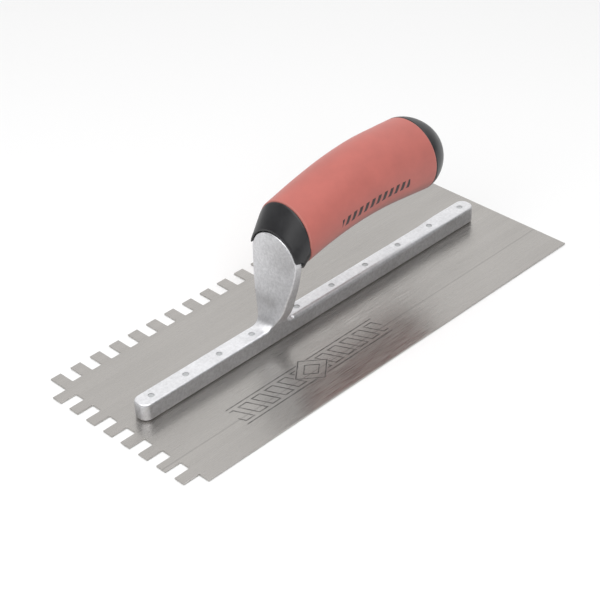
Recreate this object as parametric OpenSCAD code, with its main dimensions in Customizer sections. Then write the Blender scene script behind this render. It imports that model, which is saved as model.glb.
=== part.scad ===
// Notched finishing trowel: a steel blade toothed on one long and one short edge,
// riveted to a cast aluminium mounting whose shank carries a soft-sleeved handle.
// Origin: centre of the blade's underside. +X runs to the plain end of the blade,
// +Y to the toothed long edge, +Z up through the handle. Millimetres.

/* [Blade] */
// Length of the blade
blade_len = 279.4; // [260:0.1:320]
// Width of the blade
blade_wid = 114.3; // [100:0.1:130]
// Thickness of the blade
blade_thk = 0.8; // [0.6:0.1:1.5]

/* [Notches] */
// Width of one notch
notch_w = 6.35; // [4:0.05:8]
// Width of one tooth
tooth_w = 6.35; // [4:0.05:8]
// Depth of a notch
notch_d = 9.525; // [5:0.025:12]
// Radius in the root corners of a notch
root_r = 0.5; // [0.2:0.1:1]
// Distance from the toothed end to the first tooth of the long edge
first_long = 8.65; // [5:0.05:12]
// Distance from the toothed long edge to the first tooth of the short edge
first_short = 12.4; // [10:0.1:14]
// Notches along the long edge
long_notches = 21; // [10:1:21]
// Notches along the short edge, counting the one that opens at the corner
short_notches = 8; // [4:1:8]

/* [Mounting bar] */
// Length of the bar
bar_len = 247.6; // [240:0.1:255]
// Width of the bar
bar_wid = 10.4; // [9:0.1:14]
// Height of the bar above the blade
bar_h = 10; // [8:0.1:13]
// Distance of the bar's middle from the blade's middle
bar_shift = 1; // [0:0.1:4]
// Plan radius of the bar's end corners
bar_end_r = 4.6; // [2:0.1:5]
// Radius of the bar's long top edges
bar_edge_r = 2; // [0.5:0.1:2.5]

/* [Rivets] */
// Diameter of a rivet
rivet_d = 3.2; // [2.5:0.1:4]
// Diameter of the flush head under the blade
rivet_head_d = 5; // [4.5:0.1:6]
// Depth of a rivet's end below the top of the bar
rivet_sink = 0.2; // [0.1:0.1:0.5]
// Rivets between the toothed end and the shank
fore_rivets = 4; // [2:1:4]
// Spacing of those rivets
fore_pitch = 22.6; // [15:0.1:23]
// Rivets behind the shank
aft_rivets = 6; // [3:1:6]
// Spacing of those rivets
aft_pitch = 26.1; // [20:0.1:26.5]

/* [Handle] */
// Thickness of the soft sleeve
sleeve_t = 3; // [2:0.1:4]
// Length of the rear cap
cap_len = 20.5; // [14:0.5:24]
// Radius of the rounded top of the shank
leaf_r = 15.3; // [15:0.1:15.7]

/* [Handle bolt] */
// Diameter of the bolt that holds the handle
bolt_d = 6.35; // [5:0.05:8]
// Tilt of the bolt above the blade's plane
bolt_tilt = 4.5; // [3:0.1:6]
// Diameter of the boss that the bolt screws into
boss_d = 12.4; // [11:0.1:14]

/* [Hidden] */
sides = 40;         // facets round the handle
slack = 0.05;       // gap left round an inserted piece
clear = 30;         // half width of a block that cuts right across the handle
bar_top = blade_thk + bar_h;
fore_first = -113.8;
aft_first = -13.4;
rivet_xs = concat(
    [for (i = [0:fore_rivets - 1]) fore_first + i * fore_pitch],
    [for (i = [0:aft_rivets - 1]) aft_first + i * aft_pitch]);
function rivet_name(i) = str("rivet_", i < 9 ? "0" : "", i + 1);

// Handle stations: distance along the blade, height of the axis, radius
handle_keys = [
    [-20, 58.4, 18.1],
    [0, 62.9, 18.5],
    [20, 65.9, 19.1],
    [40, 66.8, 19.8],
    [58, 65.7, 20.3],
    [72, 64.5, 20.7]];
sleeve_x0 = handle_keys[0][0];
nose_x = -28.8;     // front end of the collar
nose_z = 47;        // height of the collar's axis there, and centre of the shank's round top
seat_gap = 0.5;     // groove between the shank's round top and the collar
nose_lip = 0.9;     // collar rim standing round that groove
skirt_z = 51;       // lowest point of the collar's rim beside the shank
chin_z = 48.5;      // underside of the collar at the shank's back face
collar_z = 41;      // underside of the collar at the sleeve
cap_drop = -0.055;  // slope of the rear cap's axis
cap_power = 1.65;   // fullness of the rear cap, 2 being an ellipse

// Shank stations: height, x of the front face at its edges, half width
leaf_keys = [
    [9, -39.9, 3.5],
    [14, -35.4, 6.4],
    [20, -32.9, 9.4],
    [28, -31.6, 11.7],
    [36, -30.0, 13.7],
    [46, -28.6, 15.1],
    [64, -28.4, 16.2]];
leaf_back = -23.9;  // x of the shank's back face at its round top
leaf_lean = 0.05;   // how much that face leans forward below it
leaf_crown = 1;     // bulge of the shank's front face

// Bolt: its origin on the shank, and the lengths along it
bolt_x = -24;
bolt_z = 55.6;
tip_at = 2;         // where the bolt's tip lies, measured from the bolt's origin
boss_len = 20;
bore_play = 0.6;    // how much wider than the bolt its bore in the handle is
seat_at = 84;       // where the washer bears, measured from the bolt's origin
washer_d = 15;
washer_t = 1.2;
head_d = 12;
head_h = 4.5;
key_d = 5;          // hexagon socket in the head
key_depth = 1.5;
pocket_d = 16;      // counterbore for the washer and the head
plug_r = 7.6;       // plug of the rear cap inside the counterbore
plug_len = 5;

// --- curves and lofts ---

// Catmull-Rom curve through the rows of a list, t from 0 to its last index
function spline_row(rows, t) =
    let (last = len(rows) - 1,
         i = min(floor(t), last - 1),
         f = t - i,
         p1 = rows[i],
         p2 = rows[i + 1],
         p0 = i > 0 ? rows[i - 1] : 2 * p1 - p2,
         p3 = i + 2 <= last ? rows[i + 2] : 2 * p2 - p1)
    0.5 * (2 * p1 + (p2 - p0) * f + (2 * p0 - 5 * p1 + 4 * p2 - p3) * f * f
        + (3 * p1 - p0 - 3 * p2 + p3) * f * f * f);

// The same curve as a list of rows, with a number of steps between stations
function spline_rows(rows, steps) =
    [for (k = [0:(len(rows) - 1) * steps]) spline_row(rows, k / steps)];

// Upright ring round the handle's axis, from a row of x, height and radius
function handle_ring(row, less = 0) =
    [for (i = [0:sides - 1])
        let (a = 360 * i / sides)
        [row[0], (row[2] - less) * cos(a), row[1] + (row[2] - less) * sin(a)]];

// Solid skin over a list of rings of equal count; looped joins the last to the first
module skin(rings, looped = false) {
    n = len(rings[0]);
    m = len(rings);
    points = [for (ring = rings) each ring];
    walls = [for (j = [0:m - (looped ? 1 : 2)], i = [0:n - 1], half = [0, 1])
        let (a = j * n + i,
             b = j * n + (i + 1) % n,
             c = ((j + 1) % m) * n + (i + 1) % n,
             d = ((j + 1) % m) * n + i)
        half == 0 ? [a, b, c] : [a, c, d]];
    far = (m - 1) * n;
    ends = looped ? [] : [for (i = [1:n - 2], side = [0, 1])
        side == 0 ? [0, i + 1, i] : [far, far + i, far + i + 1]];
    polyhedron(points, concat(walls, ends));
}

// --- blade ---

// A notch in plan, open towards +Y, its root corners rounded
module notch_plan(past = 1) {
    translate([0, -notch_d + root_r])
        square([notch_w, notch_d - root_r + past]);
    translate([root_r, -notch_d])
        square([notch_w - 2 * root_r, notch_d]);
    for (x = [root_r, notch_w - root_r])
        translate([x, -notch_d + root_r]) circle(root_r, $fn = 20);
}

module blade_plan() {
    pitch = notch_w + tooth_w;
    left = -blade_len / 2;
    top = blade_wid / 2;
    difference() {
        translate([left, -top]) square([blade_len, blade_wid]);
        for (k = [0:long_notches - 1])
            translate([left + first_long + tooth_w + k * pitch, top]) notch_plan();
        for (k = [0:short_notches - 2])
            translate([left, top - first_short - tooth_w - notch_w - k * pitch])
                rotate(90) notch_plan();
        // the last notch of the short edge opens at the corner
        translate([left - 1, -top - 1])
            square([notch_d + 1, blade_wid + 1 - first_short - tooth_w
                - (short_notches - 1) * pitch]);
        // the corner between the two toothed edges
        translate([left - 1, top - first_short])
            square([first_long + 1, first_short + 1]);
    }
}

// Rivet with its flush head down; it also cuts its own hole
module rivet_body(height) {
    sink = min(blade_thk, (rivet_head_d - rivet_d) / 2);
    cylinder(h = sink, d1 = rivet_head_d, d2 = rivet_head_d - 2 * sink, $fn = 40);
    cylinder(h = height, d = rivet_d, $fn = 40);
}

module blade() {
    color("lightgray") difference() {
        linear_extrude(blade_thk) blade_plan();
        for (x = rivet_xs) translate([x, 0, 0]) rivet_body(blade_thk + 1);
    }
}

module rivet(i) {
    color("gray") translate([rivet_xs[i], 0, 0]) rivet_body(bar_top - rivet_sink);
}

// --- mounting: bar, shank and boss in one casting ---

module bar() {
    intersection() {
        translate([bar_shift - bar_len / 2, 0, blade_thk]) rotate([90, 0, 90])
            linear_extrude(bar_len) {
                translate([-bar_wid / 2, 0])
                    square([bar_wid, bar_h - bar_edge_r]);
                translate([-bar_wid / 2 + bar_edge_r, 0])
                    square([bar_wid - 2 * bar_edge_r, bar_h]);
                for (s = [-1, 1])
                    translate([s * (bar_wid / 2 - bar_edge_r), bar_h - bar_edge_r])
                        circle(bar_edge_r, $fn = 32);
            }
        translate([bar_shift, 0, 0]) linear_extrude(bar_top + 1) {
            square([bar_len - 2 * bar_end_r, bar_wid], center = true);
            square([bar_len, bar_wid - 2 * bar_end_r], center = true);
            for (sx = [-1, 1], sy = [-1, 1])
                translate([sx * (bar_len / 2 - bar_end_r), sy * (bar_wid / 2 - bar_end_r)])
                    circle(bar_end_r, $fn = 40);
        }
    }
}

// Level ring of the shank: crowned front face, flat sides and back
function leaf_ring(row) =
    let (z = row[0],
         front = row[1],
         w = row[2],
         back = leaf_back - leaf_lean * max(0, nose_z - z),
         n = 12)
    concat(
        [for (i = [0:n])
            let (y = w * (2 * i / n - 1))
            [front - leaf_crown * (1 - pow(y / w, 2)), y, z]],
        [for (i = [n:-1:0]) [back, w * (2 * i / n - 1), z]]);

// Block as deep as given, ending at x: a round top above straight sides up to a height
module round_topped(x, depth, r, straight_to) {
    translate([x - depth, 0, 0]) rotate([90, 0, 90]) linear_extrude(depth) {
        translate([0, nose_z]) circle(r, $fn = 64);
        translate([-clear, 0]) square([2 * clear, straight_to]);
    }
}

module leaf() {
    intersection() {
        skin([for (row = spline_rows(leaf_keys, 3)) leaf_ring(row)]);
        round_topped(leaf_back + 5, 2 * clear, leaf_r, nose_z);
    }
}

// Places children on the handle bolt's axis, their +Z towards the rear of the handle
module along_bolt() {
    translate([bolt_x, 0, bolt_z]) rotate([0, 90 - bolt_tilt, 0]) children();
}

module mounting() {
    color("silver") difference() {
        union() {
            bar();
            leaf();
            along_bolt() translate([0, 0, -1])
                cylinder(h = boss_len + 1, d = boss_d, $fn = 48);
        }
        for (x = rivet_xs) translate([x, 0, 0]) rivet_body(bar_top + 1);
        along_bolt() translate([0, 0, tip_at - 1]) cylinder(h = boss_len, d = bolt_d, $fn = 40);
    }
}

// --- handle ---

// Row of the collar's dome, u from 0 at the sleeve to 1 at the front rim
function nose_row(u) =
    let (start = handle_keys[0])
    [start[0] + (nose_x - start[0]) * u,
     start[1] + (nose_z - start[1]) * u,
     start[2] + (leaf_r + seat_gap + nose_lip - start[2]) * u];

module handle_core() {
    dome_steps = 8;
    color([0.16, 0.16, 0.17]) difference() {
        skin(concat(
            [for (k = [dome_steps:-1:0]) handle_ring(nose_row(k / dome_steps))],
            [for (row = spline_rows(handle_keys, 3)) handle_ring(row, sleeve_t)]));
        // seat of the shank's round top, and the collar's underside rising to the shank
        round_topped(leaf_back + slack, 2 * clear, leaf_r + seat_gap, skirt_z);
        translate([0, clear, 0]) rotate([90, 0, 0]) linear_extrude(2 * clear)
            polygon([[nose_x - 1, 0], [nose_x - 1, chin_z], [leaf_back, chin_z],
                [sleeve_x0, collar_z], [sleeve_x0 + 1, collar_z], [sleeve_x0 + 1, 0]]);
        along_bolt() {
            translate([0, 0, -boss_d])
                cylinder(h = boss_len + boss_d + slack, d = boss_d + 2 * slack, $fn = 48);
            cylinder(h = seat_at + 1, d = bolt_d + bore_play, $fn = 40);
            translate([0, 0, seat_at]) cylinder(h = clear, d = pocket_d, $fn = 48);
        }
    }
}

module grip_sleeve() {
    rows = spline_rows(handle_keys, 4);
    inner = spline_rows(handle_keys, 3);
    color([0.78, 0.33, 0.30]) skin(concat(
        [for (row = rows) handle_ring(row)],
        [for (j = [len(inner) - 1:-1:0]) handle_ring(inner[j], sleeve_t)]), looped = true);
}

// Row of the rear cap, a is the angle from the sleeve's end round to the tip
function cap_row(a) =
    let (start = handle_keys[len(handle_keys) - 1],
         s = sin(a))
    [start[0] + cap_len * s,
     start[1] + cap_drop * cap_len * s,
     start[2] * pow(1 - pow(s, cap_power), 1 / cap_power)];

module end_cap() {
    joint_x = handle_keys[len(handle_keys) - 1][0];
    plug = [for (x = [joint_x - plug_len, joint_x])
        [x, bolt_z + (x - bolt_x) * tan(bolt_tilt), plug_r]];
    color([0.16, 0.16, 0.17])
        skin([for (row = concat(plug, [for (a = [0:8:88]) cap_row(a)])) handle_ring(row)]);
}

module handle_bolt() {
    color("dimgray") along_bolt() {
        translate([0, 0, tip_at])
            cylinder(h = seat_at + washer_t - tip_at, d = bolt_d, $fn = 40);
        translate([0, 0, seat_at + washer_t]) difference() {
            cylinder(h = head_h, d = head_d, $fn = 6);
            translate([0, 0, head_h - key_depth]) cylinder(h = key_depth + 1, d = key_d, $fn = 6);
        }
    }
}

module bolt_washer() {
    color("gray") along_bolt() translate([0, 0, seat_at]) difference() {
        cylinder(h = washer_t, d = washer_d, $fn = 48);
        translate([0, 0, -1]) cylinder(h = washer_t + 2, d = bolt_d, $fn = 40);
    }
}

blade();
mounting();
for (i = [0:len(rivet_xs) - 1])
    rivet(i);
handle_core();
grip_sleeve();
end_cap();
handle_bolt();
bolt_washer();
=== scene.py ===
"""Looks of the notched trowel, laid out as an add-on.

Each operator makes one piece, or a group of like pieces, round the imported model.
Sizes are in millimetres unless a name says otherwise; meshes are in metres.
"""
import math

import bmesh
import bpy
import numpy as np
import openvdb
from bpy.props import FloatProperty, FloatVectorProperty, IntProperty, PointerProperty
from mathutils import Matrix, Vector


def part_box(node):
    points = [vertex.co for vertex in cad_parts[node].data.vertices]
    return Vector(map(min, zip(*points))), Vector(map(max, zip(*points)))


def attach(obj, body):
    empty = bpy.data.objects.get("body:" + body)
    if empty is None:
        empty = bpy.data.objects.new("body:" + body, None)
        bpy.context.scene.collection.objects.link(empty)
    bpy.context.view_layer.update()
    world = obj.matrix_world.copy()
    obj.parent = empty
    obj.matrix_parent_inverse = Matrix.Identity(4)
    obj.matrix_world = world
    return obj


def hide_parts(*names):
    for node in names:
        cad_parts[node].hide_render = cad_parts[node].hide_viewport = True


bl_info = {
    "name": "Notched trowel",
    "version": (1, 0, 0),
    "blender": (4, 5, 0),
    "location": "3D View > Sidebar > Trowel",
    "description": "Makes the visible pieces of a notched trowel and its stage",
    "category": "Object",
}

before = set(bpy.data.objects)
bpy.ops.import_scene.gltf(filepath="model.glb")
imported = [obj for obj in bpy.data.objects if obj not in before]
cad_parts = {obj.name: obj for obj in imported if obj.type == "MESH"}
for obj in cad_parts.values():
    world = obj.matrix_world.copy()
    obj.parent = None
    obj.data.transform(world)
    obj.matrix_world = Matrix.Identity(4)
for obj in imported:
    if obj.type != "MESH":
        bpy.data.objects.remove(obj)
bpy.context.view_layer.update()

MM = 0.001
BODY = "root"


def node_box_mm(node):
    """Lowest and highest corner of a CAD node, in millimetres."""
    low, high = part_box(node)
    return np.array(low) / MM, np.array(high) / MM


BLADE_LOW, BLADE_HIGH = node_box_mm("blade")
BAR_LOW, MOUNTING_HIGH = node_box_mm("mounting")
BLADE_TOP = BLADE_HIGH[2]
BAR_HEIGHT = 10.0
BAR_HALF_WIDTH = 5.2
BAR_TOP = BLADE_TOP + BAR_HEIGHT
RIVETS = sorted(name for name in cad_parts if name.startswith("rivet_"))

# Handle stations: distance along the blade, height of the axis, radius
HANDLE_STATIONS = [
    (-20, 58.4, 18.1),
    (0, 62.9, 18.5),
    (20, 65.9, 19.1),
    (40, 66.8, 19.8),
    (58, 65.7, 20.3),
    (72, 64.5, 20.7),
]
# Shank stations: height, x of the front face at its edges, half width
SHANK_STATIONS = [
    (9, -39.9, 3.5),
    (14, -35.4, 6.4),
    (20, -32.9, 9.4),
    (28, -31.6, 11.7),
    (36, -30.0, 13.7),
    (46, -28.6, 15.1),
    (64, -28.4, 16.2),
]
SHANK_FOOT = 8.0
SHANK_BACK = -23.9
SHANK_LEAN = 0.05
SHANK_TOP_RADIUS = 15.3
SHANK_TOP_CENTRE = 47.0
SEAT_GAP = 0.5
BOSS_SPAN = (2.0, 20.0)
BOSS_RADIUS = 6.2
RIVET_HOLE_RADIUS = 1.68
RIVET_HOLE_LENGTH = 20.0
PIT_AT = (-21.6, -4.6, 11.0)
PIT_RADIUS = 1.3
MOUNTING_VOXEL = 0.36
COLLAR_VOXEL = 0.3
NOSE_X = -28.8
NOSE_LIP = 0.9
COLLAR_SKIRT = 51.0
COLLAR_CHIN = 48.5
COLLAR_UNDERSIDE = 41.0
SEAM_LEAN = 0.2
SEAM_REACH = 12.0
CAP_LENGTH = 20.5
CAP_DROP = -0.055
CAP_FULLNESS = 1.65
PLUG_LENGTH = 5.0
PLUG_RADIUS = 7.6
# Etched ornament on the blade, the faint line beside it, and the row printed on the grip
ETCH_MIDDLE = (-37.5, -33.5)
ETCH_HALF_LENGTH = 52.0
ETCH_HALF_HEIGHT = 7.5
ETCH_HALF_LINE = 0.35
ETCH_PITCH = 9.0
ETCH_SLANT = 0.45
LOZENGE_HALF_AXES = (12.5, 10.5)
ETCH_COLOUR = (0.12, 0.118, 0.115)
FAINT_LINE_Y = -35.7
PRINT_MIDDLE = 27.0
PRINT_HALF_LENGTH = 24.5
PRINT_DROP = 2.2
PRINT_HALF_HEIGHT = 2.4
PRINT_PITCH = 4.4
PRINT_SLANT = 0.35
PRINT_COLOUR = (0.035, 0.016, 0.016)
# Painted highlight that lightens the grip's two rims
RIM_HIGHLIGHT_COLOUR = (0.5, 0.2, 0.17)
# Painted shade under the grip
UNDERSIDE_SHADE_COLOUR = (0.085, 0.055, 0.05)
# Curve that the printed row follows: its highest point and the length that sets its bend
AXIS_PEAK = (38.0, 66.7)
AXIS_BEND = 380.0
BOLT_START = (-24.0, 0.0, 55.6)
BOLT_TILT = math.radians(4.5)
BOLT_RADIUS = 6.35 / 2
# Bores of the core for boss, bolt and washer: start along the bolt, length, radius
CORE_BORES = ((-5, 25.05, 6.25), (0, 85, 3.475), (84, 40, 8))
# Overhead light and floor, in metres
OVERHEAD_AT = (-0.6, -0.4, 1.5)
OVERHEAD_AIM = (0, 0, 0.03)
OVERHEAD_SIZE = (2.4, 2.4)
FLOOR_EXTENT = 4.0
FLOOR_DROP = 0.0002
# Part of the way towards its bright side over which the sky grades from low to high
SKY_RANGE = (0.2, 0.98)
CAMERA_AIM = (2.380, 13.343, 0.4)
SENSOR_WIDTH = 36


# --- settings ---


class TrowelBladeSettings(bpy.types.PropertyGroup):
    """Sizes and finish of the blade."""

    notch_width: FloatProperty(name="Notch width", description="Width of a notch", default=6.35 * MM,
                               unit="LENGTH")
    tooth_width: FloatProperty(name="Tooth width", description="Width of a tooth", default=6.35 * MM,
                               unit="LENGTH")
    notch_depth: FloatProperty(name="Notch depth", description="Depth of a notch", default=9.525 * MM,
                               unit="LENGTH")
    root_radius: FloatProperty(name="Root radius", description="Radius in a notch's inner corners",
                               default=0.5 * MM, unit="LENGTH")
    first_long: FloatProperty(name="Long edge start", description="Toothed end to the first long-edge tooth",
                              default=8.65 * MM, unit="LENGTH")
    first_short: FloatProperty(name="Short edge start", description="Long edge to the first short-edge tooth",
                               default=12.4 * MM, unit="LENGTH")
    long_notches: IntProperty(name="Long notches", description="Notches along the long edge", default=21)
    short_notches: IntProperty(name="Short notches", description="Notches along the short edge", default=8)
    edge_round: FloatProperty(name="Edge rounding", description="Rounding of the sheared edges",
                              default=0.12 * MM, unit="LENGTH")
    steel: FloatVectorProperty(name="Steel", description="Colour of the ground steel", subtype="COLOR",
                               default=(0.475, 0.457, 0.437))


class TrowelMountingSettings(bpy.types.PropertyGroup):
    """Sizes and finish of the cast mounting."""

    edge_round: FloatProperty(name="Bar edge radius", description="Radius of the bar's top edges",
                              default=0.9 * MM, unit="LENGTH")
    worn_round: FloatProperty(name="Worn edge radius", description="Radius of those edges under the grip",
                              default=2.3 * MM, unit="LENGTH")
    foot_round: FloatProperty(name="Foot radius", description="Radius where the bar meets the blade",
                              default=1.6 * MM, unit="LENGTH")
    end_radius: FloatProperty(name="Bar end radius", description="Plan radius of the bar's end corners",
                              default=4.6 * MM, unit="LENGTH")
    fillet: FloatProperty(name="Fillet", description="Blend between bar and shank", default=3.0 * MM,
                          unit="LENGTH")
    crown: FloatProperty(name="Shank crown", description="Bulge of the shank's front face",
                         default=1.0 * MM, unit="LENGTH")
    shank_edge: FloatProperty(name="Shank edge radius", description="Radius of the shank's long edges",
                              default=0.4 * MM, unit="LENGTH")
    aluminium: FloatVectorProperty(name="Aluminium", description="Colour of the casting", subtype="COLOR",
                                   default=(0.87, 0.87, 0.89))


class TrowelHandleSettings(bpy.types.PropertyGroup):
    """Sizes and colours of the handle."""

    sleeve_thickness: FloatProperty(name="Sleeve thickness", description="Thickness of the soft sleeve",
                                    default=3.0 * MM, unit="LENGTH")
    rim_round: FloatProperty(name="Rim rounding", description="Rounding of the sleeve's and cap's rims",
                             default=0.5 * MM, unit="LENGTH")
    red: FloatVectorProperty(name="Grip colour", description="Colour of the soft sleeve", subtype="COLOR",
                             default=(0.50, 0.140, 0.116))
    black: FloatVectorProperty(name="Plastic colour", description="Colour of the hard plastic",
                               subtype="COLOR", default=(0.017, 0.017, 0.0187))


class TrowelStageSettings(bpy.types.PropertyGroup):
    """Camera, light and floor."""

    azimuth: FloatProperty(name="Azimuth", description="Camera's bearing", subtype="ANGLE",
                           default=math.radians(-44.76))
    elevation: FloatProperty(name="Elevation", description="Camera's height angle", subtype="ANGLE",
                             default=math.radians(34.916))
    roll: FloatProperty(name="Roll", description="Camera's roll", subtype="ANGLE",
                        default=math.radians(-1.731))
    distance: FloatProperty(name="Distance", description="Camera to its aim point", default=0.902845,
                            unit="LENGTH")
    focal_mm: FloatProperty(name="Focal length", description="Lens on a 36 mm wide sensor",
                            default=102.3)
    sky_towards: FloatVectorProperty(name="Sky grading", description="Direction in which the sky brightens",
                                     subtype="XYZ", default=(0.6, 0.6, 0.5))
    sky_low: FloatProperty(name="Sky low", description="Sky strength at its dark side", default=0.16)
    sky_high: FloatProperty(name="Sky high", description="Sky strength at its bright side", default=1.0)
    overhead_power: FloatProperty(name="Overhead power", description="Power of the overhead light",
                                  default=37.0, unit="POWER")
    floor: FloatVectorProperty(name="Floor", description="Colour of the floor", subtype="COLOR",
                               default=(0.9, 0.9, 0.9))


# --- curves, grids and meshes ---


def spline_rows(stations, steps):
    """Catmull-Rom curve through the stations, as an array of rows."""
    rows = np.array(stations, float)
    rows = np.vstack([2 * rows[0] - rows[1], rows, 2 * rows[-1] - rows[-2]])
    out = []
    for i in range(1, len(rows) - 2):
        p0, p1, p2, p3 = rows[i - 1:i + 3]
        last = i == len(rows) - 3
        for f in np.linspace(0, 1, steps + 1)[: None if last else -1]:
            out.append(0.5 * (2 * p1 + (p2 - p0) * f + (2 * p0 - 5 * p1 + 4 * p2 - p3) * f ** 2
                              + (3 * p1 - p0 - 3 * p2 + p3) * f ** 3))
    return np.array(out)


HANDLE_CURVE = spline_rows(HANDLE_STATIONS, 40)
SHANK_CURVE = spline_rows(SHANK_STATIONS, 40)


def handle_at(x):
    """Height of the handle's axis and its radius at x."""
    return (np.interp(x, HANDLE_CURVE[:, 0], HANDLE_CURVE[:, 1]),
            np.interp(x, HANDLE_CURVE[:, 0], HANDLE_CURVE[:, 2]))


def smooth_min(a, b, k):
    """Lesser of two distances, blended over a width k where they meet."""
    h = np.clip(0.5 + 0.5 * (b - a) / k, 0, 1)
    return b + (a - b) * h - k * h * (1 - h)


def smooth_max(a, b, k):
    """Greater of two distances, blended over a width k where they meet."""
    return -smooth_min(-a, -b, k)


def new_object(name, mesh):
    obj = bpy.data.objects.new(name, mesh)
    bpy.context.scene.collection.objects.link(obj)
    return obj


def mesh_object(name, points_mm, faces):
    """Object from points in millimetres, its faces turned outwards."""
    mesh = bpy.data.meshes.new(name)
    mesh.from_pydata([tuple(p) for p in np.asarray(points_mm) * MM], [], [tuple(f) for f in faces])
    bm = bmesh.new()
    bm.from_mesh(mesh)
    bmesh.ops.recalc_face_normals(bm, faces=bm.faces)
    bm.to_mesh(mesh)
    bm.free()
    mesh.validate()
    return new_object(name, mesh)


def distance_mesh(name, field, blocks, voxel, smooth=2):
    """Object from a distance field in millimetres, sampled over blocks of space."""
    grid = openvdb.FloatGrid(3 * voxel)
    for low, high in blocks:
        start = np.floor(np.array(low) / voxel).astype(int)
        stop = np.ceil(np.array(high) / voxel).astype(int)
        axes = [np.arange(a, b + 1) * voxel for a, b in zip(start, stop)]
        x, y, z = np.meshgrid(*axes, indexing="ij", sparse=True)
        values = np.clip(field(x, y, z), -3 * voxel, 3 * voxel).astype(np.float32)
        grid.copyFromArray(values, ijk=tuple(int(v) for v in start))
    points, triangles, quads = grid.convertToPolygons(isovalue=0.0, adaptivity=0.0)
    faces = [tuple(int(i) for i in face) for group in (triangles, quads) for face in group]
    obj = mesh_object(name, np.array(points) * voxel, faces)
    if smooth:
        apply_modifier(obj, "SMOOTH", factor=0.5, iterations=smooth)
    return obj


def apply_modifier(obj, kind, **settings):
    modifier = obj.modifiers.new(kind.lower(), kind)
    for key, value in settings.items():
        setattr(modifier, key, value)
    bpy.context.view_layer.update()
    depsgraph = bpy.context.evaluated_depsgraph_get()
    mesh = bpy.data.meshes.new_from_object(obj.evaluated_get(depsgraph))
    old = obj.data
    obj.modifiers.clear()
    obj.data = mesh
    bpy.data.meshes.remove(old)


def combine(obj, other, operation):
    """Joins or cuts obj with another closed object, which is then removed."""
    apply_modifier(obj, "BOOLEAN", operation=operation, object=other, solver="MANIFOLD")
    mesh = other.data
    bpy.data.objects.remove(other)
    bpy.data.meshes.remove(mesh)


def skin(name, rings, looped=False):
    """Closed skin over rings of equal count; looped joins the last ring to the first."""
    rings = np.array(rings)
    m, n = rings.shape[:2]
    faces = []
    for j in range(m if looped else m - 1):
        for i in range(n):
            a, b = j * n + i, j * n + (i + 1) % n
            c, d = ((j + 1) % m) * n + (i + 1) % n, ((j + 1) % m) * n + i
            faces.append((a, b, c, d))
    if not looped:
        faces.append(tuple(range(n)))
        faces.append(tuple(range((m - 1) * n, m * n)))
    return mesh_object(name, rings.reshape(-1, 3), faces)


def ring(x, height, radius, sides=96):
    """Upright ring round the handle's axis."""
    a = np.linspace(0, 2 * math.pi, sides, endpoint=False)
    return np.stack([np.full_like(a, x), radius * np.cos(a), height + radius * np.sin(a)], axis=1)


def rod(name, start, direction, length, radius, sides=48):
    """Closed round rod from a start point along a direction."""
    axis = np.array(direction, float) / np.linalg.norm(direction)
    side = np.cross(axis, (0, 1, 0) if abs(axis[1]) < 0.9 else (1, 0, 0))
    side /= np.linalg.norm(side)
    up = np.cross(axis, side)
    a = np.linspace(0, 2 * math.pi, sides, endpoint=False)[:, None]
    circle = radius * (np.cos(a) * side + np.sin(a) * up)
    return skin(name, [np.array(start) + circle, np.array(start) + axis * length + circle])


def shade(obj, crease_degrees, level=False):
    """Smooth shading up to a crease angle; level faces may stay flat."""
    obj.data.set_sharp_from_angle(angle=math.radians(crease_degrees))
    smooth = [not (level and abs(face.normal.z) > 0.999) for face in obj.data.polygons]
    obj.data.polygons.foreach_set("use_smooth", smooth)
    obj.data.update()


def fit_out(obj, material, replaced):
    """Gives a piece its material and its place in the model."""
    obj.data.materials.clear()
    obj.data.materials.append(material)
    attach(obj, BODY)
    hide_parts(replaced)


# --- materials ---


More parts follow.
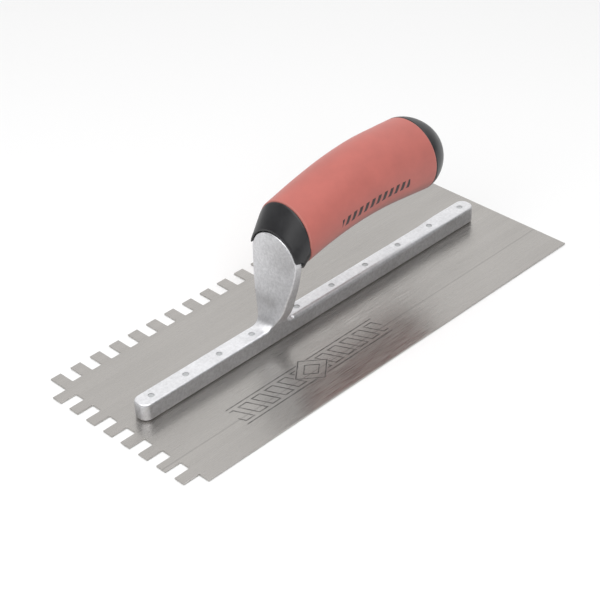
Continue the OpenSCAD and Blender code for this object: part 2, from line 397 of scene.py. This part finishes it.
class NodeBench:
    """Short hand for building a material's nodes."""

    def __init__(self, name):
        self.material = bpy.data.materials.new(name)
        self.material.use_nodes = True
        self.tree = self.material.node_tree
        self.shader = self.tree.nodes["Principled BSDF"]
        self.place = self.tree.nodes.new("ShaderNodeTexCoord").outputs["Object"]

    def link(self, source, target):
        self.tree.links.new(source, target)

    def stretched(self, scale):
        node = self.tree.nodes.new("ShaderNodeMapping")
        node.inputs["Scale"].default_value = scale
        self.link(self.place, node.inputs["Vector"])
        return node.outputs["Vector"]

    def noise(self, scale, detail, roughness, stretch=(1, 1, 1)):
        node = self.tree.nodes.new("ShaderNodeTexNoise")
        node.inputs["Scale"].default_value = scale
        node.inputs["Detail"].default_value = detail
        node.inputs["Roughness"].default_value = roughness
        self.link(self.stretched(stretch), node.inputs["Vector"])
        return node.outputs["Fac"]

    def ramp(self, source, low, high, low_value, high_value):
        node = self.tree.nodes.new("ShaderNodeMapRange")
        node.inputs["From Min"].default_value = low
        node.inputs["From Max"].default_value = high
        node.inputs["To Min"].default_value = low_value
        node.inputs["To Max"].default_value = high_value
        self.link(source, node.inputs["Value"])
        return node.outputs["Result"]

    def math(self, operation, a, b=None):
        node = self.tree.nodes.new("ShaderNodeMath")
        node.operation = operation
        for socket, value in zip(node.inputs, (a, b)):
            if value is None:
                continue
            if isinstance(value, (int, float)):
                socket.default_value = value
            else:
                self.link(value, socket)
        return node.outputs[0]

    def mix(self, factor, a, b):
        node = self.tree.nodes.new("ShaderNodeMix")
        node.data_type = "RGBA"
        self.link(factor, node.inputs["Factor"])
        for socket, value in ((node.inputs[6], a), (node.inputs[7], b)):
            if isinstance(value, bpy.types.NodeSocket):
                self.link(value, socket)
            else:
                socket.default_value = (*value[:3], 1)
        return node.outputs[2]

    def bump(self, height, strength, distance, under=None):
        node = self.tree.nodes.new("ShaderNodeBump")
        node.inputs["Strength"].default_value = strength
        node.inputs["Distance"].default_value = distance
        self.link(height, node.inputs["Height"])
        if under is not None:
            self.link(under, node.inputs["Normal"])
        return node.outputs["Normal"]

    def near(self, value, middle, reach):
        """One where a value is within reach of the middle, and nought elsewhere."""
        node = self.tree.nodes.new("ShaderNodeMath")
        node.operation = "COMPARE"
        self.link(value, node.inputs[0])
        node.inputs[1].default_value = middle
        node.inputs[2].default_value = reach
        return node.outputs[0]

    def both(self, *masks):
        """One where every mask is one."""
        total = masks[0]
        for mask in masks[1:]:
            total = self.math("MULTIPLY", total, mask)
        return total

    def either(self, *masks):
        """One where any mask is one."""
        total = masks[0]
        for mask in masks[1:]:
            total = self.math("MAXIMUM", total, mask)
        return total

    def split(self, vector):
        node = self.tree.nodes.new("ShaderNodeSeparateXYZ")
        self.link(vector, node.inputs[0])
        return node.outputs


def tinted(colour, factor):
    return tuple(c * factor for c in colour)


def etched_pattern(bench):
    """Mask of the blade's etched ornament: a ruled band of open parallelograms and a lozenge."""
    x, y, z = bench.split(bench.place)
    along = bench.math("SUBTRACT", x, ETCH_MIDDLE[0] * MM)
    across = bench.math("SUBTRACT", y, ETCH_MIDDLE[1] * MM)
    half_length, half_height = ETCH_HALF_LENGTH * MM, ETCH_HALF_HEIGHT * MM
    half_line = ETCH_HALF_LINE * MM
    rules = bench.either(bench.near(across, half_height, half_line),
                         bench.near(across, -half_height, half_line))
    slanted = bench.math("ADD", along, bench.math("MULTIPLY", across, ETCH_SLANT))
    cell = bench.math("FRACT", bench.math("MULTIPLY", slanted, 1 / (ETCH_PITCH * MM)))
    inner = 0.68 * half_height
    # A parallelogram takes the middle of its cell: two slanted sides, closed by two caps
    cell_middle, cell_reach, side_reach = 0.45, 0.3, 0.045
    sides = bench.either(bench.near(cell, cell_middle - cell_reach, side_reach),
                         bench.near(cell, cell_middle + cell_reach, side_reach))
    sides = bench.both(sides, bench.near(across, 0.0, inner))
    caps = bench.either(bench.near(across, inner, half_line), bench.near(across, -inner, half_line))
    caps = bench.both(caps, bench.near(cell, cell_middle, cell_reach + side_reach))
    reach_along, reach_across = (reach * MM for reach in LOZENGE_HALF_AXES)
    lozenge = bench.math("ADD", bench.math("MULTIPLY", bench.math("ABSOLUTE", along), 1 / reach_along),
                         bench.math("MULTIPLY", bench.math("ABSOLUTE", across), 1 / reach_across))
    outside = bench.math("GREATER_THAN", lozenge, 1.0)
    rim = bench.either(bench.near(lozenge, 0.9, 0.04), bench.near(lozenge, 0.45, 0.04))
    band = bench.both(bench.either(sides, caps, rules), outside, bench.near(along, 0.0, half_length))
    upper_face = bench.math("GREATER_THAN", z, 0.5 * BLADE_TOP * MM)
    return bench.both(bench.either(band, rim), upper_face)


def ground_steel(colour):
    """Steel ground along the blade: fine streaks, faint bands and an etched ornament."""
    bench = NodeBench("ground_steel")
    streaks = bench.noise(1.0, 3.0, 0.6, (18, 2600, 200))
    scores = bench.noise(1.0, 2.0, 0.5, (60, 12000, 200))
    bands = bench.noise(1.0, 3.0, 0.6, (2.0, 90, 20))
    clouds = bench.noise(14.0, 3.0, 0.55)
    tone = bench.math("ADD", bench.ramp(streaks, 0.3, 0.7, -0.3, 0.3),
                      bench.ramp(bands, 0.3, 0.7, -0.55, 0.55))
    tone = bench.math("ADD", tone, bench.ramp(clouds, 0.3, 0.7, -0.3, 0.3))
    factor = bench.ramp(tone, -1.2, 1.2, 0.0, 1.0)
    plain = bench.mix(factor, tinted(colour, 0.9), tinted(colour, 1.08))
    _, y, _ = bench.split(bench.place)
    line = bench.math("MULTIPLY", bench.near(y, FAINT_LINE_Y * MM, ETCH_HALF_LINE * MM), 0.5)
    lined = bench.mix(line, plain, tinted(colour, 0.62))
    worn = bench.noise(420.0, 3.0, 0.7)
    etch = bench.both(etched_pattern(bench), bench.ramp(worn, 0.38, 0.62, 0.55, 1.0))
    bench.link(bench.mix(etch, lined, ETCH_COLOUR), bench.shader.inputs["Base Color"])
    bench.shader.inputs["Metallic"].default_value = 1.0
    rough = bench.ramp(scores, 0.38, 0.62, 0.20, 0.47)
    bench.link(bench.math("MAXIMUM", rough, bench.math("MULTIPLY", etch, 0.5)),
               bench.shader.inputs["Roughness"])
    bench.link(bench.bump(streaks, 0.08, 0.00002), bench.shader.inputs["Normal"])
    return bench.material


def cast_aluminium(colour):
    """Casting with a fine grain, faint stains and painted shade that darkens its side faces."""
    bench = NodeBench("cast_aluminium")
    grain = bench.noise(1700.0, 3.0, 0.6)
    lumps = bench.noise(260.0, 3.0, 0.5)
    stains = bench.noise(45.0, 4.0, 0.6)
    scratches = bench.noise(1.0, 3.0, 0.6, (240, 240, 2200))
    normal = bench.tree.nodes.new("ShaderNodeNewGeometry").outputs["Normal"]
    upward = bench.split(normal)[2]
    # Side faces, those turned well away from upright, carry painted shade and a little more roughness
    shaded_sides = bench.ramp(bench.math("ABSOLUTE", upward), 0.9, 0.5, 0.0, 1.0)
    speckle = bench.noise(620.0, 3.0, 0.7)
    tone = bench.math("ADD", bench.ramp(stains, 0.3, 0.7, 0.0, 0.4),
                      bench.ramp(speckle, 0.35, 0.65, 0.0, 0.6))
    ground = bench.mix(tone, tinted(colour, 0.84), tinted(colour, 1.1))
    # Painted shade: the darker colour of the side faces
    side_shade_colour = bench.mix(tone, tinted(colour, 0.68), tinted(colour, 0.96))
    bench.link(bench.mix(shaded_sides, ground, side_shade_colour), bench.shader.inputs["Base Color"])
    bench.shader.inputs["Metallic"].default_value = 1.0
    satin = bench.ramp(lumps, 0.3, 0.7, 0.38, 0.48)
    bench.link(bench.math("ADD", satin, bench.math("MULTIPLY", shaded_sides, 0.03)),
               bench.shader.inputs["Roughness"])
    soft = bench.bump(lumps, 0.3, 0.0002)
    fine = bench.bump(grain, 0.35, 0.00006, soft)
    bench.link(bench.bump(scratches, 0.12, 0.00003, fine), bench.shader.inputs["Normal"])
    return bench.material


def rivet_steel(colour=(0.60, 0.61, 0.62)):
    """Hammered rivet ends, dull and spotted."""
    bench = NodeBench("rivet_steel")
    spots = bench.noise(1400.0, 3.0, 0.6)
    bench.link(bench.mix(bench.ramp(spots, 0.35, 0.65, 0.0, 1.0), tinted(colour, 0.8), tinted(colour, 1.1)),
               bench.shader.inputs["Base Color"])
    bench.shader.inputs["Metallic"].default_value = 1.0
    bench.link(bench.ramp(spots, 0.3, 0.7, 0.38, 0.55), bench.shader.inputs["Roughness"])
    bench.link(bench.bump(spots, 0.3, 0.00005), bench.shader.inputs["Normal"])
    return bench.material


def hard_plastic(colour):
    """Semi-gloss black moulding with a fine spark texture."""
    bench = NodeBench("hard_plastic")
    grain = bench.noise(2600.0, 2.0, 0.5)
    wear = bench.noise(120.0, 4.0, 0.6)
    bench.link(bench.mix(bench.ramp(wear, 0.3, 0.75, 0.0, 1.0), tinted(colour, 0.85), tinted(colour, 1.35)),
               bench.shader.inputs["Base Color"])
    bench.link(bench.ramp(wear, 0.3, 0.7, 0.30, 0.42), bench.shader.inputs["Roughness"])
    bench.link(bench.bump(grain, 0.15, 0.00004), bench.shader.inputs["Normal"])
    bench.shader.inputs["Specular IOR Level"].default_value = 0.55
    return bench.material


def printed_row(bench, x, y, z):
    """Mask of a row of slanted dashes along one side of the grip."""
    peak_x, peak_z = AXIS_PEAK
    bend = bench.math("POWER", bench.math("ADD", x, -peak_x * MM), 2.0)
    axis = bench.math("SUBTRACT", peak_z * MM, bench.math("MULTIPLY", bend, 1 / (AXIS_BEND * MM)))
    rise = bench.math("ADD", bench.math("SUBTRACT", z, axis), PRINT_DROP * MM)
    slanted = bench.math("SUBTRACT", x, bench.math("MULTIPLY", rise, PRINT_SLANT))
    cell = bench.math("FRACT", bench.math("MULTIPLY", slanted, 1 / (PRINT_PITCH * MM)))
    dashes = bench.both(bench.near(cell, 0.5, 0.27), bench.near(rise, 0.0, PRINT_HALF_HEIGHT * MM))
    return bench.both(dashes, bench.near(x, PRINT_MIDDLE * MM, PRINT_HALF_LENGTH * MM),
                      bench.math("LESS_THAN", y, 0.0))


def soft_grip(colour):
    """Matte soft moulding with a dusty, slightly uneven surface, painted highlights on its rims and painted
    shade underneath.
    """
    bench = NodeBench("soft_grip")
    grain = bench.noise(1500.0, 3.0, 0.6)
    mottle = bench.noise(60.0, 4.0, 0.6)
    plain = bench.mix(bench.ramp(mottle, 0.3, 0.7, 0.0, 1.0), tinted(colour, 0.92), tinted(colour, 1.08))
    x, y, z = bench.split(bench.place)
    # Painted highlight: a narrow band at each end of the sleeve is lightened
    rim_reach = 0.7 * MM
    ends = bench.either(bench.near(x, HANDLE_STATIONS[0][0] * MM, rim_reach),
                        bench.near(x, HANDLE_STATIONS[-1][0] * MM, rim_reach))
    rim_highlighted = bench.mix(bench.math("MULTIPLY", ends, 0.4), plain, RIM_HIGHLIGHT_COLOUR)
    # Painted shade: faces turned downwards are darkened
    normal = bench.tree.nodes.new("ShaderNodeNewGeometry").outputs["Normal"]
    underside_shade = bench.ramp(bench.split(normal)[2], -0.35, -0.9, 0.0, 0.8)
    grip_shaded = bench.mix(underside_shade, rim_highlighted, UNDERSIDE_SHADE_COLOUR)
    bench.link(bench.mix(printed_row(bench, x, y, z), grip_shaded, PRINT_COLOUR),
               bench.shader.inputs["Base Color"])
    bench.link(bench.ramp(mottle, 0.3, 0.7, 0.58, 0.70), bench.shader.inputs["Roughness"])
    bench.link(bench.bump(grain, 0.25, 0.00006), bench.shader.inputs["Normal"])
    bench.shader.inputs["Specular IOR Level"].default_value = 0.4
    bench.shader.inputs["Sheen Weight"].default_value = 0.25
    bench.shader.inputs["Sheen Roughness"].default_value = 0.5
    return bench.material


def plated_steel(colour=(0.55, 0.55, 0.53)):
    """Bright plating of the bolt and its washer."""
    bench = NodeBench("plated_steel")
    cloud = bench.noise(500.0, 3.0, 0.6)
    bench.link(bench.mix(cloud, tinted(colour, 0.85), tinted(colour, 1.15)),
               bench.shader.inputs["Base Color"])
    bench.shader.inputs["Metallic"].default_value = 1.0
    bench.link(bench.ramp(cloud, 0.3, 0.7, 0.28, 0.4), bench.shader.inputs["Roughness"])
    return bench.material


def floor_paint(colour):
    """Even matt paint of the floor."""
    bench = NodeBench("floor_paint")
    cloud = bench.noise(3.0, 2.0, 0.5)
    bench.link(bench.mix(cloud, tinted(colour, 0.995), tinted(colour, 1.005)),
               bench.shader.inputs["Base Color"])
    bench.shader.inputs["Roughness"].default_value = 0.9
    bench.shader.inputs["Specular IOR Level"].default_value = 0.2
    return bench.material


# --- pieces ---


def notch_corners(start, along, inward, width, depth, radius, steps=4):
    """Outline of a notch, walked from one tooth to the next, with round inner corners."""
    along, inward, start = (np.array(v, float) for v in (along, inward, start))
    points = [start]
    for centre_at, first in ((radius, math.pi), (width - radius, 1.5 * math.pi)):
        for i in range(steps + 1):
            a = first + 0.5 * math.pi * i / steps
            outwards = along * (centre_at + radius * math.cos(a))
            deeper = inward * (depth - radius - radius * math.sin(a))
            points.append(start + (outwards + deeper))
    points.append(start + along * width)
    return points


def blade_outline(sizes):
    """The blade in plan, walked along the toothed long edge, then round the plain sides."""
    x0, y0 = BLADE_LOW[:2]
    x1, y1 = BLADE_HIGH[:2]
    width, tooth, depth, radius, first_long, first_short = (
        getattr(sizes, key) / MM for key in
        ("notch_width", "tooth_width", "notch_depth", "root_radius", "first_long", "first_short"))
    pitch = width + tooth
    points = [np.array((x0 + first_long, y1 - first_short)), np.array((x0 + first_long, y1))]
    for k in range(sizes.long_notches):
        start = (x0 + first_long + tooth + k * pitch, y1)
        points += notch_corners(start, (1, 0), (0, -1), width, depth, radius)
    points += [np.array((x1, y1)), np.array((x1, y0)), np.array((x0 + depth, y0))]
    last_tooth = y1 - first_short - tooth - (sizes.short_notches - 1) * pitch
    points += [np.array((x0 + depth, last_tooth)), np.array((x0, last_tooth))]
    for k in range(sizes.short_notches - 1):
        start = (x0, last_tooth + tooth + k * pitch)
        points += notch_corners(start, (0, 1), (1, 0), width, depth, radius)
    points.append(np.array((x0, y1 - first_short)))
    return points


def make_blade(sizes):
    """Flat sheet with rounded edges and holes for the rivets' flush heads."""
    curve = bpy.data.curves.new("blade", "CURVE")
    curve.dimensions = "2D"
    curve.fill_mode = "BOTH"
    loops = [blade_outline(sizes)]
    head_gap = 0.02
    for name in RIVETS:
        low, high = node_box_mm(name)
        centre, radius = (low + high)[:2] / 2, (high - low)[0] / 2 + head_gap
        a = np.linspace(0, 2 * math.pi, 40, endpoint=False)
        loops.append(np.stack([centre[0] + radius * np.cos(a), centre[1] + radius * np.sin(a)], axis=1))
    for loop in loops:
        spline = curve.splines.new("POLY")
        spline.points.add(len(loop) - 1)
        for point, (x, y) in zip(spline.points, loop):
            point.co = (x * MM, y * MM, 0, 1)
        spline.use_cyclic_u = True
    half = BLADE_TOP * MM / 2
    curve.bevel_depth = sizes.edge_round
    curve.bevel_resolution = 2
    curve.offset = -sizes.edge_round
    curve.extrude = half - sizes.edge_round
    shape = bpy.data.objects.new("blade_shape", curve)
    bpy.context.scene.collection.objects.link(shape)
    bpy.context.view_layer.update()
    depsgraph = bpy.context.evaluated_depsgraph_get()
    mesh = bpy.data.meshes.new_from_object(shape.evaluated_get(depsgraph))
    bpy.data.objects.remove(shape)
    bpy.data.curves.remove(curve)
    mesh.transform(Matrix.Translation((0, 0, half)))
    blade = new_object("blade_sheet", mesh)
    bm = bmesh.new()
    bm.from_mesh(mesh)
    bmesh.ops.remove_doubles(bm, verts=bm.verts, dist=1e-6)
    bm.to_mesh(mesh)
    bm.free()
    shade(blade, 30, level=True)
    fit_out(blade, ground_steel(sizes.steel), "blade")


def rounded_corner(a, b, radius):
    """Distance to the meeting of two half spaces, its edge rounded."""
    a, b = a + radius, b + radius
    return np.hypot(np.maximum(a, 0), np.maximum(b, 0)) + np.minimum(np.maximum(a, b), 0) - radius


def bar_distance(x, y, z, sizes):
    """Signed distance to the bar: round ends, worn top edges, a rolled foot on the blade."""
    end, foot = sizes.end_radius / MM, sizes.foot_round / MM
    sharp, worn = sizes.edge_round / MM, sizes.worn_round / MM
    wear_from_to = [-45, -15, 85, 100]
    edge = np.interp(x, wear_from_to, [sharp, worn, worn, sharp])
    centre = (BAR_LOW[0] + MOUNTING_HIGH[0]) / 2
    half_length = (MOUNTING_HIGH[0] - BAR_LOW[0]) / 2
    px, py = np.abs(x - centre) - half_length, np.abs(y) - BAR_HALF_WIDTH
    plan = rounded_corner(px, py, end)
    return np.maximum(rounded_corner(plan, z - BAR_TOP, edge), rounded_corner(plan, BLADE_TOP - z, foot))


def shank_distance(x, y, z, sizes):
    """Distance to the leaf-shaped shank: crowned front, flat sides and back, round top."""
    edge = sizes.shank_edge / MM
    width = np.interp(z, SHANK_CURVE[:, 0], SHANK_CURVE[:, 2])
    front = np.interp(z, SHANK_CURVE[:, 0], SHANK_CURVE[:, 1])
    bulge = sizes.crown / MM * np.clip(1 - (y / width) ** 2, -0.5, 1)
    front_slope, side_slope = 0.93, 0.95
    front_gap = (front - bulge - x) * front_slope
    side_gap = (np.abs(y) - width) * side_slope
    top_gap = np.where(z > SHANK_TOP_CENTRE, np.hypot(y, z - SHANK_TOP_CENTRE), np.abs(y)) - SHANK_TOP_RADIUS
    back = SHANK_BACK - SHANK_LEAN * np.maximum(0, SHANK_TOP_CENTRE - z)
    body = rounded_corner(front_gap, np.maximum(side_gap, top_gap), edge)
    return np.maximum(smooth_max(body, x - back, edge), SHANK_FOOT - z)


def bolt_frame(x, y, z):
    """Length along the bolt and distance from its axis."""
    dx, dz = x - BOLT_START[0], z - BOLT_START[2]
    along = dx * math.cos(BOLT_TILT) + dz * math.sin(BOLT_TILT)
    across = -dx * math.sin(BOLT_TILT) + dz * math.cos(BOLT_TILT)
    return along, np.hypot(y, across)


def make_mounting(sizes):
    """Bar, shank and boss as one casting with soft blends."""

    def field(x, y, z):
        bar, shank = bar_distance(x, y, z, sizes), shank_distance(x, y, z, sizes)
        body = smooth_min(bar, shank, sizes.fillet / MM)
        width = np.interp(z, SHANK_CURVE[:, 0], SHANK_CURVE[:, 2])
        body = np.maximum(body, np.abs(y) - np.maximum(BAR_HALF_WIDTH, width))
        along, off_axis = bolt_frame(x, y, z)
        boss_start, boss_end = BOSS_SPAN
        boss = np.maximum(np.maximum(off_axis - BOSS_RADIUS, along - boss_end), boss_start - along)
        body = smooth_min(body, boss, 1.0)
        hole = np.maximum(off_axis - BOLT_RADIUS, 1 - along)
        pit = np.sqrt((x - PIT_AT[0]) ** 2 + (y - PIT_AT[1]) ** 2 + (z - PIT_AT[2]) ** 2) - PIT_RADIUS
        body = smooth_max(body, -pit, 0.4)
        return np.maximum(np.maximum(body, -hole), BLADE_TOP - z)

    margin = 2.0
    bar_block = ((BAR_LOW[0] - margin, -8, BLADE_TOP - margin), (MOUNTING_HIGH[0] + margin, 8, BAR_TOP + 6))
    shank_block = ((-46, -19, SHANK_FOOT), (0, 19, 66))
    mounting = distance_mesh("mounting_cast", field, [bar_block, shank_block], MOUNTING_VOXEL, 1)
    for name in RIVETS:
        low, high = node_box_mm(name)
        centre = (low + high) / 2
        hole = rod("rivet_hole", (centre[0], centre[1], 0), (0, 0, 1), RIVET_HOLE_LENGTH,
                   RIVET_HOLE_RADIUS)
        combine(mounting, hole, "DIFFERENCE")
    shade(mounting, 50)
    fit_out(mounting, cast_aluminium(sizes.aluminium), "mounting")


def sleeve_ring(x, inset, sides=96):
    """Ring of the sleeve, its front end leaning back below the axis."""
    a = np.linspace(0, 2 * math.pi, sides, endpoint=False)
    fade = max(0.0, 1 - (x - HANDLE_STATIONS[0][0]) / SEAM_REACH)
    _, radius = handle_at(x)
    xs = x + SEAM_LEAN * fade * radius * np.maximum(0, -np.sin(a))
    height, radius = handle_at(xs)
    return np.stack([xs, (radius - inset) * np.cos(a), height + (radius - inset) * np.sin(a)], axis=1)


def make_sleeve(sizes):
    """Soft sleeve over the core, its two ends rolled over."""
    thick, rim = sizes.sleeve_thickness / MM, sizes.rim_round / MM
    x0, x1 = HANDLE_STATIONS[0][0], HANDLE_STATIONS[-1][0]
    quarter = [math.pi / 2 * i / 6 for i in range(7)]
    rings = [sleeve_ring(x0 + rim - rim * math.cos(a), rim - rim * math.sin(a)) for a in quarter]
    rings += [sleeve_ring(x, 0) for x in np.linspace(x0 + rim, x1 - rim, 121)[1:-1]]
    rings += [sleeve_ring(x1 - rim + rim * math.cos(a), rim - rim * math.sin(a)) for a in reversed(quarter)]
    rings += [sleeve_ring(x, thick) for x in np.linspace(x1, x0, 60)]
    sleeve = skin("grip_soft", rings, looped=True)
    shade(sleeve, 60)
    fit_out(sleeve, soft_grip(sizes.red), "grip_sleeve")


def nose_at(x):
    """Height of the collar's axis and its radius at x, ahead of the sleeve."""
    x0, _, r0 = HANDLE_STATIONS[0]
    z0, radius = handle_at(x)
    u = np.clip((x - x0) / (NOSE_X - x0), 0, 1)
    nose_radius = SHANK_TOP_RADIUS + SEAT_GAP + NOSE_LIP
    return z0 + (SHANK_TOP_CENTRE - z0) * u, radius + (nose_radius - r0) * u


def make_core(sizes):
    """Hard core: the domed collar in front and the bored body under the sleeve."""
    x0 = HANDLE_STATIONS[0][0]

    def field(x, y, z):
        height, radius = nose_at(x)
        dome = (np.hypot(y, z - height) - radius) * 0.85
        dome = smooth_max(dome, NOSE_X - x, 0.6)
        dome = smooth_max(dome, x - x0 - SEAM_LEAN * np.maximum(0, height - z), 1.1)
        seat = np.where(z > SHANK_TOP_CENTRE, np.hypot(y, z - SHANK_TOP_CENTRE), np.abs(y))
        seat = np.maximum(seat - SHANK_TOP_RADIUS - SEAT_GAP, x - SHANK_BACK - 0.1)
        skirt = np.maximum(z - COLLAR_SKIRT, x - SHANK_BACK - 0.1)
        body = smooth_max(dome, -seat, 0.3)
        body = smooth_max(body, -skirt, 0.3)
        chin = np.interp(x, [SHANK_BACK, x0], [COLLAR_CHIN, COLLAR_UNDERSIDE]) - z
        return smooth_max(body, chin * 0.5, 0.6)

    collar = distance_mesh("core_moulding", field, [((-31, -20, 38), (-13, 20, 79))], COLLAR_VOXEL)
    thick = sizes.sleeve_thickness / MM
    rings = [ring(x, h, r - thick) for x, h, r in spline_rows(HANDLE_STATIONS, 8)]
    rings = [rings[0] - np.array((1.5, 0, 0))] + rings
    combine(collar, skin("core_body", rings), "UNION")
    axis = np.array((math.cos(BOLT_TILT), 0, math.sin(BOLT_TILT)))
    for at, length, radius in CORE_BORES:
        bore = rod("core_bore", np.array(BOLT_START) + axis * at, axis, length, radius)
        combine(collar, bore, "DIFFERENCE")
    shade(collar, 50)
    fit_out(collar, hard_plastic(sizes.black), "handle_core")


def make_cap(sizes):
    """Rear dome with a rolled front rim and a plug into the core."""
    x1, height, radius = HANDLE_STATIONS[-1]
    rim = sizes.rim_round / MM
    plug_z = BOLT_START[2] + (x1 - PLUG_LENGTH / 2 - BOLT_START[0]) * math.tan(BOLT_TILT)
    rings = [ring(x1 - PLUG_LENGTH, plug_z, PLUG_RADIUS), ring(x1, plug_z, PLUG_RADIUS)]
    steps = 40
    for i in range(7):
        a = math.pi / 2 * i / 6
        rings.append(ring(x1 + rim - rim * math.cos(a), height, radius - rim + rim * math.sin(a)))
    for i in range(1, steps):
        s = math.sin(math.radians(89) * i / (steps - 1))
        x = x1 + CAP_LENGTH * s
        if x < x1 + rim:
            continue
        rings.append(ring(x, height + CAP_DROP * CAP_LENGTH * s,
                          radius * (1 - s ** CAP_FULLNESS) ** (1 / CAP_FULLNESS)))
    cap = skin("cap_moulding", rings)
    shade(cap, 50)
    fit_out(cap, hard_plastic(sizes.black), "end_cap")


def finish_hardware():
    """Rivets, bolt and washer keep their CAD shapes and get their metal."""
    for metal, names in ((rivet_steel(), RIVETS), (plated_steel(), ("handle_bolt", "bolt_washer"))):
        for name in names:
            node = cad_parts[name]
            node.data.materials.clear()
            node.data.materials.append(metal)


# --- stage ---


def area_light(name, place, aim, size, power):
    """White area light at a place in metres, turned to its aim."""
    data = bpy.data.lights.new(name, "AREA")
    data.shape = "RECTANGLE"
    data.size, data.size_y = size
    data.energy = power
    light = bpy.data.objects.new(name, data)
    bpy.context.scene.collection.objects.link(light)
    light.location = place
    light.rotation_euler = (Vector(aim) - Vector(place)).to_track_quat("-Z", "Y").to_euler()


def make_stage(stage):
    """Floor, soft studio light and camera."""
    scene = bpy.context.scene
    mesh = bpy.data.meshes.new("floor")
    corners = ((-1, -1), (1, -1), (1, 1), (-1, 1))
    mesh.from_pydata([(x * FLOOR_EXTENT, y * FLOOR_EXTENT, -FLOOR_DROP) for x, y in corners], [],
                     [(0, 1, 2, 3)])
    floor = new_object("floor", mesh)
    mesh.materials.append(floor_paint(stage.floor))

    world = bpy.data.worlds.new("studio")
    scene.world = world
    world.use_nodes = True
    tree = world.node_tree
    direction = tree.nodes.new("ShaderNodeTexCoord")
    weigh = tree.nodes.new("ShaderNodeVectorMath")
    weigh.operation = "DOT_PRODUCT"
    weigh.inputs[1].default_value = stage.sky_towards
    grade = tree.nodes.new("ShaderNodeMapRange")
    for key, value in (("From Min", SKY_RANGE[0]), ("From Max", SKY_RANGE[1]),
                       ("To Min", stage.sky_low), ("To Max", stage.sky_high)):
        grade.inputs[key].default_value = value
    tree.links.new(direction.outputs["Generated"], weigh.inputs[0])
    tree.links.new(weigh.outputs["Value"], grade.inputs["Value"])
    tree.links.new(grade.outputs["Result"], tree.nodes["Background"].inputs["Strength"])
    tree.nodes["Background"].inputs["Color"].default_value = (1, 1, 1, 1)

    area_light("overhead", OVERHEAD_AT, OVERHEAD_AIM, OVERHEAD_SIZE, stage.overhead_power)

    back = Vector((math.sin(stage.azimuth) * math.cos(stage.elevation),
                   -math.cos(stage.azimuth) * math.cos(stage.elevation),
                   math.sin(stage.elevation)))
    right = Vector((math.cos(stage.azimuth), math.sin(stage.azimuth), 0))
    up = back.cross(right)
    c, s = math.cos(stage.roll), math.sin(stage.roll)
    right, up = right * c + up * s, up * c - right * s
    aim = Vector(CAMERA_AIM) * MM
    camera_data = bpy.data.cameras.new("camera")
    camera_data.lens = stage.focal_mm
    camera_data.sensor_width = SENSOR_WIDTH
    camera = bpy.data.objects.new("camera", camera_data)
    scene.collection.objects.link(camera)
    matrix = Matrix((right, up, back)).transposed().to_4x4()
    matrix.translation = aim + back * stage.distance
    camera.matrix_world = matrix
    scene.camera = camera
    scene.view_settings.view_transform = "Standard"


# --- operators and panel ---


class TROWEL_OT_blade(bpy.types.Operator):
    """Make the notched steel blade."""

    bl_idname = "trowel.blade"
    bl_label = "Blade"

    def execute(self, context):
        make_blade(context.scene.trowel_blade)
        return {"FINISHED"}


class TROWEL_OT_mounting(bpy.types.Operator):
    """Make the cast bar and shank."""

    bl_idname = "trowel.mounting"
    bl_label = "Mounting"

    def execute(self, context):
        make_mounting(context.scene.trowel_mounting)
        return {"FINISHED"}


class TROWEL_OT_core(bpy.types.Operator):
    """Make the hard core of the handle with its collar."""

    bl_idname = "trowel.core"
    bl_label = "Handle core"

    def execute(self, context):
        make_core(context.scene.trowel_handle)
        return {"FINISHED"}


class TROWEL_OT_sleeve(bpy.types.Operator):
    """Make the soft sleeve of the handle."""

    bl_idname = "trowel.sleeve"
    bl_label = "Grip sleeve"

    def execute(self, context):
        make_sleeve(context.scene.trowel_handle)
        return {"FINISHED"}


class TROWEL_OT_cap(bpy.types.Operator):
    """Make the rear cap of the handle."""

    bl_idname = "trowel.cap"
    bl_label = "End cap"

    def execute(self, context):
        make_cap(context.scene.trowel_handle)
        return {"FINISHED"}


class TROWEL_OT_hardware(bpy.types.Operator):
    """Finish the rivets, the bolt and its washer."""

    bl_idname = "trowel.hardware"
    bl_label = "Rivets and bolt"

    def execute(self, context):
        finish_hardware()
        return {"FINISHED"}


class TROWEL_OT_stage(bpy.types.Operator):
    """Make the floor, the light and the camera."""

    bl_idname = "trowel.stage"
    bl_label = "Stage"

    def execute(self, context):
        make_stage(context.scene.trowel_stage)
        return {"FINISHED"}


OPERATORS = (TROWEL_OT_stage, TROWEL_OT_blade, TROWEL_OT_mounting, TROWEL_OT_core, TROWEL_OT_sleeve,
             TROWEL_OT_cap, TROWEL_OT_hardware)
SETTINGS = {
    "trowel_blade": TrowelBladeSettings,
    "trowel_mounting": TrowelMountingSettings,
    "trowel_handle": TrowelHandleSettings,
    "trowel_stage": TrowelStageSettings,
}


class TROWEL_PT_panel(bpy.types.Panel):
    """Lists the operators in the sidebar."""

    bl_idname = "TROWEL_PT_panel"
    bl_label = "Notched trowel"
    bl_space_type = "VIEW_3D"
    bl_region_type = "UI"
    bl_category = "Trowel"

    def draw(self, context):
        for operator in OPERATORS:
            self.layout.operator(operator.bl_idname)


def register():
    for cls in (*SETTINGS.values(), *OPERATORS, TROWEL_PT_panel):
        bpy.utils.register_class(cls)
    for name, cls in SETTINGS.items():
        setattr(bpy.types.Scene, name, PointerProperty(type=cls))


def unregister():
    for name in SETTINGS:
        delattr(bpy.types.Scene, name)
    for cls in reversed((*SETTINGS.values(), *OPERATORS, TROWEL_PT_panel)):
        bpy.utils.unregister_class(cls)


def main():
    """Registers the add-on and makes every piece."""
    register()
    for operator in OPERATORS:
        group, name = operator.bl_idname.split(".")
        getattr(getattr(bpy.ops, group), name)()


if __name__ == "__main__":
    main()
